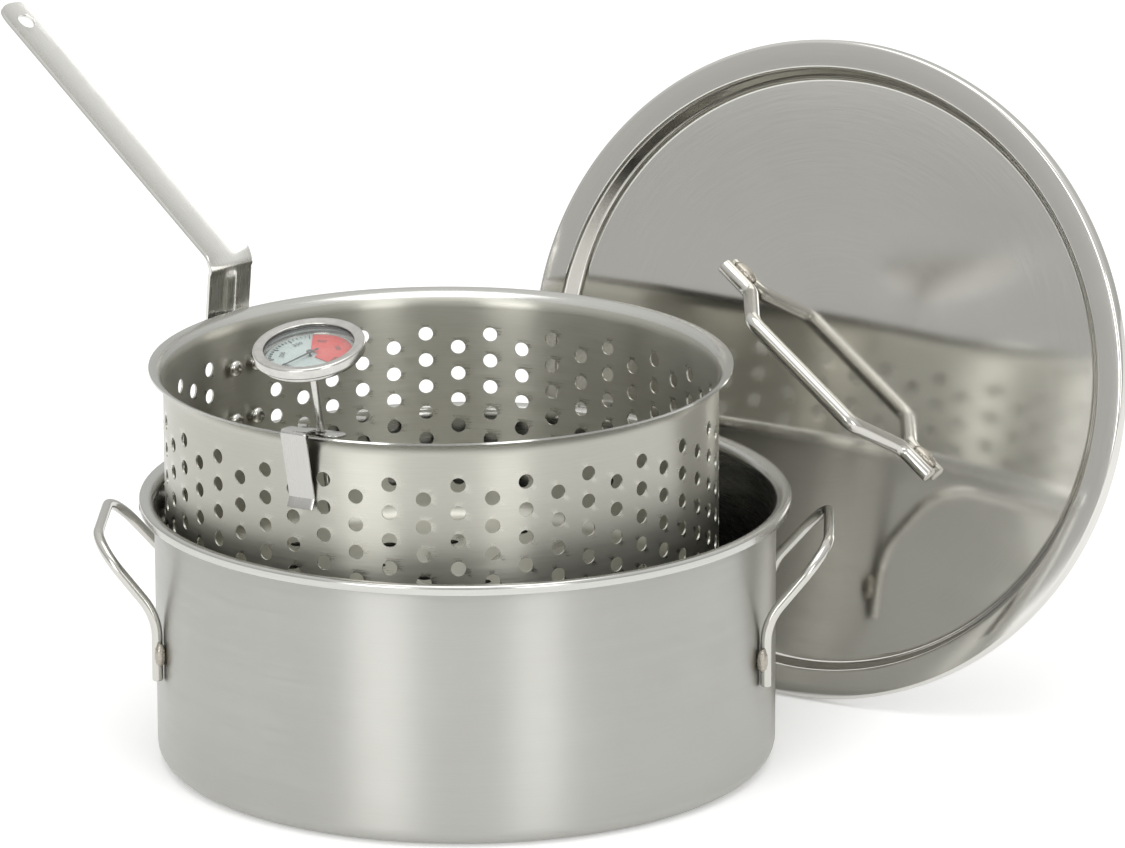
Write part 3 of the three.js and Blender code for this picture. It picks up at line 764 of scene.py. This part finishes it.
def basket_sheet():
    """Outer face of the basket's floor, perforated wall and flare, as an open sheet."""
    rows, first = basket_rows()
    around = BASKET["columns"] * CELL
    start = BASKET["first_column"] - 180 / BASKET["columns"]
    bm = bmesh.new()
    made = {}

    def vert(i, row):
        key = (i % around, row)
        if key not in made:
            radius, z = rows[row]
            made[key] = bm.verts.new(polar(radius, start + 360 * i / around, z) * MM)
        return made[key]

    punched = set()
    for column in range(BASKET["columns"]):
        if is_plain(column):
            continue
        lowest = first + (CELL // 2 if column % 2 == 0 else 0)
        for k in range(BASKET["rows"]):
            row = lowest + k * CELL
            border = [vert(*place) for place in cell_border(column, row)]
            middle = rows[row + CELL // 2][1]
            punched_cell(bm, border, BASKET["first_column"] + 360 * column / BASKET["columns"], middle)
            punched.update((column * CELL + i, row + j) for i in range(CELL) for j in range(CELL))
    for row in range(len(rows) - 1):
        for i in range(around):
            if (i, row) not in punched:
                bm.faces.new((vert(i, row), vert(i + 1, row), vert(i + 1, row + 1), vert(i, row + 1)))
    middle = bm.verts.new((0, 0, BASKET["bottom"] * MM))
    for i in range(around):
        bm.faces.new((middle, vert(i + 1, 0), vert(i, 0)))
    return bm


def floor_punches():
    tools = []
    for radius, count in BASKET["floor_rings"]:
        for i in range(count):
            spot = polar(radius, 360 * (i + 0.5) / count, BASKET["bottom"])
            tools.append(moved(cylinder(BASKET["hole"] / 2, 10, 24), translation(*spot)))
    return tools


def screw_spots():
    """(name, y, z) of the four screws that hold the bracket."""
    spots = []
    for level, z in zip(("upper", "lower"), SCREW["heights"]):
        for end, sign in (("a", -1), ("b", 1)):
            spots.append((f"{level}_{end}", sign * SCREW["half_spacing"], z))
    return spots


def screw_punches():
    tools = []
    for _, y, z in screw_spots():
        tools.append(moved(cylinder(SCREW["clearance"], 22, 24, "X"), translation(BASKET["radius"], y, z)))
    return tools


def handle_path():
    spec = BASKET_HANDLE
    hook_z = POT["height"] + GAP + spec["thickness"] / 2
    rise = math.radians(spec["grip_rise"])
    fold = Vector((spec["fold_x"], 0, spec["fold_z"]))
    away = Vector((math.cos(rise), 0, math.sin(rise)))
    corners = [
        Vector((spec["hook_x"], 0, spec["hook_bottom"])),
        Vector((spec["hook_x"], 0, hook_z)),
        Vector((spec["wall_x"], 0, hook_z)),
        Vector((spec["wall_x"], 0, spec["wall_top"])),
        Vector((spec["rim_x"], 0, spec["rim_z"])),
        fold,
        fold + away * 8,
    ]
    length = spec["grip_length"]
    bends = rounded_path(corners, [2.2, 2.2, 6, 6, 3], 8)
    bracket = []
    for point, following in zip(bends, bends[1:]):
        pieces = max(1, round((following - point).length / 1.5))
        bracket += [point.lerp(following, k / pieces) for k in range(pieces)]
    reach = [8 + 6 * k for k in range(int((length - 24) / 6))]
    tip = [16, 13, 10.5, 8.5, 6.5, 5, 3.6, 2.5, 1.6, 0.9, 0.4, 0.1, 0]
    return bracket + [fold + away * s for s in reach] + [fold + away * (length - d) for d in tip]


def smooth(value, start, end):
    """0 before start, 1 after end, eased between them."""
    t = min(max((value - start) / (end - start), 0.0), 1.0)
    return t * t * (3 - 2 * t)


def handle_shape(path):
    """Flat in the bracket, ribbed above the rim, and a rounded trough in the grip."""
    spec = BASKET_HANDLE
    half = spec["width"] / 2
    tip = path[-1]

    def shape(offset, row):
        spot = path[row]
        t = offset / half
        in_grip = 0.0
        if spot.z > spec["fold_z"] - 3:
            in_grip = smooth(spot.x, spec["fold_x"] - 1.5, spec["fold_x"] + 5)
        narrow = 1.0
        from_tip = (spot - tip).length
        if from_tip < half:
            narrow = max(math.sqrt(half ** 2 - (half - from_tip) ** 2) / half, 0.04)
        trough = spec["trough_depth"] * in_grip * (t * narrow) ** 2
        rise = 0.0
        if spot.x < 150:
            rise = smooth(spot.z, *spec["rib_start"]) * (1 - smooth(spot.z, *spec["rib_end"]))
        rib = spec["rib_height"] * rise * (1 - smooth(abs(t), *spec["rib_side"]))
        return offset * narrow, trough + rib

    return shape


def make_basket_handle():
    spec = BASKET_HANDLE
    path = handle_path()
    strip = swept_strip(path, spec["width"], 40, Vector((-1, 0, 0)), handle_shape(path))
    handle = new_object("basket_grip", strip)
    thicken(handle, spec["thickness"], 0)
    rise = math.radians(spec["grip_rise"])
    reach = spec["grip_length"] - spec["hang_hole_inset"]
    x = spec["fold_x"] + reach * math.cos(rise)
    z = spec["fold_z"] + reach * math.sin(rise)
    place = translation(x, 0, z) @ turn(-spec["grip_rise"], "Y")
    hole = moved(cylinder(spec["hang_hole"] / 2, 20, 40), place)
    punch(handle, [hole] + screw_punches())
    ease_edges(handle, 0.35)
    finish_piece(handle, basket_frame(), "basket", ["basket_handle"], LOOK["grip"])


def screw_mesh():
    """Pan-head screw along X, with a cross recess in its head."""
    inner = BASKET["radius"] - SHEET - 1.2
    outer = BASKET_HANDLE["wall_x"] + BASKET_HANDLE["thickness"] / 2
    outer += SCREW["washer_thickness"] + SCREW["nut_thickness"] + 1.6
    head, height, shank = SCREW["head"], SCREW["head_height"], SCREW["shank"]
    front = inner - height
    profile = [(0, front), (head * 0.4, front + 0.05)]
    for k in range(1, 7):
        angle = math.radians(15 * k)
        crown = front + height * 0.8 * (1 - math.cos(angle)) + 0.05
        profile.append((head * (0.4 + 0.6 * math.sin(angle)), crown))
    profile += [(head, inner - 0.1), (head - 0.1, inner), (shank, inner)]
    threads = int((outer - inner - 1) / 0.7)
    for k in range(threads):
        profile += [(shank, inner + 0.7 * k + 0.15), (shank - 0.22, inner + 0.7 * k + 0.5)]
    profile += [(shank - 0.2, outer - 0.3), (shank - 0.5, outer), (0, outer)]
    screw = new_object("screw", moved(revolved(profile, 40), turn(90, "Y")))
    for angle in (20, 110):
        punch(screw, [moved(block(2.4, 0.95, 4.4), translation(front, 0, 0) @ turn(angle, "X"))])
    return screw


def washer_mesh(bore, base):
    rim, top = SCREW["washer"], base + SCREW["washer_thickness"]
    ring = [(bore, base), (rim - 0.15, base), (rim, base + 0.15), (rim, top - 0.15),
            (rim - 0.15, top), (bore + 0.1, top), (bore, top - 0.1), (bore, base)]
    return new_object("washer", moved(revolved(ring, 40), turn(90, "Y")))


def nut_mesh(bore, base):
    hexagon = cylinder(SCREW["nut"], SCREW["nut_thickness"], 6, "X")
    nut = new_object("nut", moved(hexagon, translation(base + SCREW["nut_thickness"] / 2, 0, 0)))
    punch(nut, [moved(cylinder(bore, 10, 32, "X"), translation(base, 0, 0))])
    ease_edges(nut, 0.3, 2, 40)
    return nut


def make_fasteners():
    low = BASKET_HANDLE["wall_x"] + BASKET_HANDLE["thickness"] / 2 + GAP
    bore = SCREW["shank"] + GAP
    for name, y, z in screw_spots():
        place = basket_frame() @ translation(0, y, z)
        pieces = {
            ("bolt", "screw"): screw_mesh(),
            ("disc", "washer"): washer_mesh(bore, low),
            ("hex", "nut"): nut_mesh(bore, low + SCREW["washer_thickness"] + GAP),
        }
        for (short, node), obj in pieces.items():
            obj.name = f"basket_{short}_{name}"
            finish_piece(obj, place, "basket", [f"basket_{node}_{name}"], LOOK["fastener"])


def make_basket():
    shell = new_object("basket_body", basket_sheet())
    thicken(shell, SHEET, -1)
    punch(shell, floor_punches() + screw_punches())
    ease_edges(shell, 0.14, 1, 60)
    finish_piece(shell, basket_frame(), "basket", ["basket_shell"], LOOK["basket"])
    polish_rim(shell, BASKET["top"] - BASKET["flare"] / 2)
    make_basket_handle()
    make_fasteners()


# ---- lid ----


def lid_profile():
    radius, skirt, edge = LID["radius"], LID["skirt"], LID["edge"]
    top, bottom, recess = LID["step_top"], LID["step_bottom"], LID["recess"]
    return [
        (0, -recess - SHEET), (70, -recess - SHEET),
        *arc(bottom - 3.4, -recess + 3.6, 3.6 + SHEET, -90, -15, 6),
        *arc(top, -2.6, 2.6 - SHEET, 165, 90, 6),
        *arc(radius - edge, -edge, edge - SHEET, 90, 0, 4),
        (radius - SHEET, -skirt + 0.2), (radius - SHEET / 2, -skirt), (radius, -skirt + 0.2),
        *arc(radius - edge, -edge, edge, 0, 90, 6),
        *arc(top, -2.6, 2.6, 90, 165, 6),
        *arc(bottom - 3.4, -recess + 3.6, 3.6, -15, -90, 6),
        (70, -recess), (0, -recess),
    ]


def lid_handle_path():
    spec = LID_HANDLE
    low = -LID["recess"] + GAP + spec["rod"]
    places = [(spec["half"], low), (spec["foot_half"], low), (spec["grip_half"], low + spec["rise"])]
    corners = [Vector((-x, 0, z)) for x, z in places] + [Vector((x, 0, z)) for x, z in reversed(places)]
    return rounded_path(corners, [spec["bend"]] * 4, 10)


def lid_weld(side):
    """Weld bead in the corner between one foot and the panel, trimmed to both."""
    centre = side * (LID_HANDLE["half"] - 10)
    low = -LID["recess"] + GAP
    rod_radius = LID_HANDLE["rod"]
    middle = Vector((centre, rod_radius, low + 0.6))
    weld = new_object("weld", bead((7.2, 2.5, 2.5), middle, Vector((1, 0, 0))))
    punch(weld, [moved(cylinder(rod_radius + 0.05, 40, 40, "X"), translation(centre, 0, low + rod_radius))])
    punch(weld, [moved(block(60, 60, 20), translation(centre, 0, low - GAP + 0.05 - 10))])
    return weld


def make_lid():
    place = lid_frame()
    shell = new_object("lid_body", revolved(lid_profile(), LID["segments"]))
    finish_piece(shell, place, "lid", ["lid_shell"], LOOK["lid"])
    bar = place @ turn(LID_HANDLE["turn"])
    rod = swept_rod(lid_handle_path(), LID_HANDLE["rod"], 32, Vector((0, 1, 0)))
    finish_piece(new_object("lid_grip", rod), bar, "lid", ["lid_handle"], LOOK["rod"])
    for end, sign in (("a", -1), ("b", 1)):
        weld = lid_weld(sign)
        weld.name = f"lid_bead_{end}"
        finish_piece(weld, bar, "lid", [f"lid_weld_{end}"], LOOK["weld"])


# ---- clip and thermometer ----


def clip_path():
    spec = CLIP
    drop = (spec["inner_y"] + 1) * math.tan(math.radians(spec["droop"]))
    corners = [
        Vector((0, -4.6, -spec["leg_length"] - 4.2)),
        Vector((0, -1, -spec["leg_length"])),
        Vector((0, -1, spec["bridge"])),
        Vector((0, spec["inner_y"], spec["bridge"] - drop)),
        Vector((0, spec["inner_y"], spec["tab_z"] - 0.3)),
    ]
    return rounded_path(corners, [1.2, 1.5, 1.1], 6)


def clip_tab():
    """Flat tongue with a round end and the stem's hole."""
    spec = CLIP
    half = spec["tab_length"] / 2
    left = -spec["width"] / 2
    outline = [(left, 0.9)]
    outline += arc(spec["tab_end"] - half, half, half, -90, 90, 24)
    outline += [(left, spec["tab_length"])]
    tab = new_object("clip_tongue", flat_piece(outline, -spec["thickness"] / 2, spec["thickness"] / 2))
    start = spec["inner_y"] - spec["thickness"] / 2
    reach = (spec["hole_y"] - start) / math.cos(math.radians(spec["droop"]))
    punch(tab, [moved(cylinder(spec["hole"] / 2, 10, 32), translation(spec["hole_x"], reach, 0))])
    ease_edges(tab, 0.18)
    tab.data.transform(translation(0, start, spec["tab_z"]) @ turn(-spec["droop"], "X"))
    return tab


def make_clip():
    spec = CLIP
    strip = new_object("clip_spring", swept_strip(clip_path(), spec["width"], 6, Vector((0, 1, 0))))
    thicken(strip, spec["thickness"], 0)
    ease_edges(strip, 0.18)
    finish_piece(strip, clip_frame(), "clip", ["clip_strip"], LOOK["clip"])
    finish_piece(clip_tab(), clip_frame(), "clip", [], LOOK["clip"])


def stem_profile():
    radius, length = PROBE["radius"], PROBE["length"]
    return [
        (0, -length), (radius * 0.35, -length + 0.1), (radius * 0.7, -length + 0.7),
        (radius * 0.93, -length + 1.8), (radius, -length + 3.2), (radius, -60), (radius, -10.2), (0, -10.2),
    ]


def case_profile():
    return [
        (0, -9.9), (15.6, -9.9), (16.2, -9.7), (17.3, -8.8), (17.9, -8.6), (23.4, -8.05),
        (24.2, -7.8), (24.6, -7.1), (24.6, -3.2), (23.8, -3.2), (23.8, -7.1), (16.8, -7.8),
        (15.6, -9), (0, -9),
    ]


def bezel_profile():
    bezel, window = PROBE["bezel"], PROBE["window"]
    return [
        (24.9, -5.6), (bezel - 1.1, -5.6), (bezel - 0.6, -5.4),
        *arc(bezel - 0.9, -4.4, 0.9, -45, 0, 3),
        *arc(bezel - 1.3, -1.3, 1.3, 0, 90, 8),
        (bezel - 2.2, -0.05), (window + 1.6, -0.35), (window + 0.6, -0.62),
        *arc(window + 0.5, -1.1, 0.5, 90, 180, 4),
        (window + 0.2, -1.5), (24.9, -1.6), (24.9, -5.6),
    ]


def ring_profile(inner, outer, low, high):
    return [(inner, low), (outer, low), (outer, high), (inner, high), (inner, low)]


def flat_piece(outline, low, high):
    """A closed plate over an outline of (x, y) points, from low to high."""
    bm = bmesh.new()
    lower = [bm.verts.new(Vector((x, y, low)) * MM) for x, y in outline]
    upper = [bm.verts.new(Vector((x, y, high)) * MM) for x, y in outline]
    bm.faces.new(list(reversed(lower)))
    bm.faces.new(upper)
    for i in range(len(outline)):
        k = (i + 1) % len(outline)
        bm.faces.new((lower[i], lower[k], upper[k], upper[i]))
    return bm


def dial_ticks():
    """Scale lines near the edge of the dial: a long one at every fifth place."""
    parts = []
    for k in range(PROBE["ticks"] + 1):
        angle = -90 + PROBE["tick_sweep"] * (k / PROBE["ticks"] - 0.5)
        inner = 17.2 if k % 5 == 0 else 18.6
        half = 0.16 if k % 5 == 0 else 0.09
        tick = flat_piece([(inner, -half), (20.1, -half), (20.1, half), (inner, half)], -6.56, -6.02)
        parts.append(moved(tick, turn(angle)))
    return parts


def dial_numbers():
    """Plain scale numbers, 100 to 600, standing round the dial."""
    parts = []
    for k in range(6):
        angle = 120 + PROBE["number_sweep"] * (k / 5 - 0.5)
        curve = bpy.data.curves.new("number", "FONT")
        curve.body = str(600 - 100 * k)
        curve.size = 3.4 * MM
        curve.extrude = 0.03 * MM
        curve.align_x = "CENTER"
        curve.align_y = "CENTER"
        text = bpy.data.objects.new("number", curve)
        bpy.context.scene.collection.objects.link(text)
        bpy.context.view_layer.update()
        mesh = text.to_mesh()
        bm = bmesh.new()
        bm.from_mesh(mesh)
        text.to_mesh_clear()
        bpy.data.objects.remove(text)
        spot = polar(PROBE["number_radius"], angle, -6.0)
        parts.append(moved(bm, translation(*spot) @ turn(angle - 90)))
    return parts


def zone_outline():
    start, sweep = PROBE["zone_start"], PROBE["zone_sweep"]
    return arc(0, 0, 20.4, start, start + sweep, 48) + arc(0, 0, 3.2, start + sweep, start, 24)


def pointer_mesh():
    blade = [(-5, -0.55), (0, -0.6), (18.4, -0.12), (18.4, 0.12), (0, 0.6), (-5, 0.55)]
    post = [(0, -8.5), (0.55, -8.5), (0.55, -4.5), (1.6, -4.5), (1.6, -4.0), (1.2, -3.75), (0, -3.7)]
    return moved(merged([flat_piece(blade, -4.95, -4.6), revolved(post, 32)]), turn(PROBE["pointer_angle"]))


def collar_mesh():
    place = translation(0, 0, PROBE["collar_z"])
    nut = new_object("hex_collar", cylinder(4.4, 3.2, 6))
    nut.data.transform(place)
    punch(nut, [moved(cylinder(PROBE["radius"] + 0.1, 10, 32), place)])
    ease_edges(nut, 0.3, 2, 40)
    return nut


def make_thermometer():
    place = probe_frame()

    def part(name, bm, node, slot, look, body="thermometer"):
        finish_piece(new_object(name, bm), place, body, [node], LOOK[look])

    part("stem", revolved(stem_profile(), 32), "probe_stem", "polished_trim", "trim")
    part("back_case", revolved(case_profile(), 96), "dial_case", "polished_trim", "trim")
    part("front_ring", revolved(bezel_profile(), 128), "dial_bezel", "polished_trim", "trim")
    part("seal", revolved(ring_profile(22.3, 23.6, -4.1, -3.3), 96), "dial_gasket", "gasket_rubber", "rubber")
    pane = [(0, -3), (24.3, -3), (24.5, -2.8), (24.5, -2.2), (24.3, -2), (0, -2)]
    part("pane", revolved(pane, 96), "dial_window", "window_glass", "glass")
    part("scale_plate", revolved(ring_profile(1, 22, -7, -6.6), 96), "dial_plate", "dial_face", "face")
    part("red_zone", flat_piece(zone_outline(), -6.3, -6.05), "dial_zone", "dial_red", "red")
    part("needle", pointer_mesh(), "dial_pointer", "pointer_black", "ink", "pointer")
    finish_piece(collar_mesh(), place, "thermometer", ["probe_collar"], LOOK["trim"])
    marks = new_object("scale_marks", merged(dial_ticks() + dial_numbers()))
    finish_piece(marks, place, "thermometer", [], LOOK["ink"])


# ---- stage ----


def make_floor():
    bm = bmesh.new()
    bmesh.ops.create_grid(bm, x_segments=1, y_segments=1, size=12.0)
    floor = new_object("studio_floor", bm)
    nodes = Nodes("pale_floor")
    nodes.shader.inputs["Base Color"].default_value = (0.88, 0.88, 0.88, 1)
    nodes.shader.inputs["Roughness"].default_value = 0.9
    nodes.shader.inputs["Specular IOR Level"].default_value = 0.0
    nodes.shader.inputs["Emission Color"].default_value = (1, 1, 1, 1)
    nodes.shader.inputs["Emission Strength"].default_value = 0.22
    floor.data.materials.append(nodes.material)


def make_world():
    """White room: brightest above, a little darker to the sides and near the horizon."""
    world = bpy.data.worlds.new("studio")
    bpy.context.scene.world = world
    world.use_nodes = True
    tree = world.node_tree
    tree.nodes.clear()
    link = tree.links.new
    direction = tree.nodes.new("ShaderNodeTexCoord")
    axes = tree.nodes.new("ShaderNodeSeparateXYZ")
    link(direction.outputs["Generated"], axes.inputs[0])
    ramp = tree.nodes.new("ShaderNodeValToRGB")
    ramp.color_ramp.elements[0].position = 0.0
    ramp.color_ramp.elements[0].color = (0.55, 0.55, 0.54, 1)
    ramp.color_ramp.elements[1].position = 0.8
    ramp.color_ramp.elements[1].color = (0.95, 0.95, 0.94, 1)
    link(axes.outputs["Z"], ramp.inputs[0])
    reflected = tree.nodes.new("ShaderNodeBackground")
    link(ramp.outputs[0], reflected.inputs[0])
    seen = tree.nodes.new("ShaderNodeBackground")
    seen.inputs[0].default_value = (1, 1, 1, 1)
    path = tree.nodes.new("ShaderNodeLightPath")
    mix = tree.nodes.new("ShaderNodeMixShader")
    link(path.outputs["Is Camera Ray"], mix.inputs[0])
    link(reflected.outputs[0], mix.inputs[1])
    link(seen.outputs[0], mix.inputs[2])
    output = tree.nodes.new("ShaderNodeOutputWorld")
    link(mix.outputs[0], output.inputs[0])


def softbox(name, azimuth, elevation, distance, width, height, power):
    target = Vector((0.05, 0.03, 0.14))
    angle = math.radians(azimuth - 90 + CAMERA["turn"])
    rise = math.radians(elevation)
    away = Vector((math.cos(rise) * math.cos(angle), math.cos(rise) * math.sin(angle), math.sin(rise)))
    light = bpy.data.lights.new(name, "AREA")
    light.shape = "RECTANGLE"
    light.size = width
    light.size_y = height
    light.energy = power
    obj = bpy.data.objects.new(name, light)
    bpy.context.scene.collection.objects.link(obj)
    obj.location = target + away * distance
    obj.rotation_euler = away.to_track_quat("Z", "Y").to_euler()
    obj.visible_camera = False


def make_lights():
    softbox("left_softbox", -31, 16, 2.4, 0.85, 1.2, 10)
    softbox("right_softbox", 24, 16, 2.4, 0.7, 1.2, 7)
    softbox("top_softbox", 0, 80, 2.0, 1.6, 1.6, 14)


def make_camera():
    spec = CAMERA
    pitch, yaw = spec["pitch"], spec["yaw"]
    ahead = Vector((math.sin(yaw) * math.cos(pitch), math.cos(yaw) * math.cos(pitch), -math.sin(pitch)))
    ahead = turn(spec["turn"]).to_3x3() @ ahead
    right = ahead.cross(Vector((0, 0, 1))).normalized()
    up = right.cross(ahead)
    camera = bpy.data.cameras.new("camera")
    camera.sensor_width = spec["sensor"]
    camera.lens = spec["focal_px"] / spec["width_px"] * spec["sensor"]
    camera.clip_start = 0.1
    camera.clip_end = 60
    obj = bpy.data.objects.new("camera", camera)
    bpy.context.scene.collection.objects.link(obj)
    roll = Matrix.Rotation(-spec["roll"], 4, "Z")
    obj.matrix_world = translation(*spec["position"]) @ basis(right, up, -ahead) @ roll
    bpy.context.scene.camera = obj


bpy.context.scene.view_settings.view_transform = "Standard"
make_pot()
make_basket()
make_lid()
make_clip()
make_thermometer()
make_floor()
make_world()
make_lights()
make_camera()
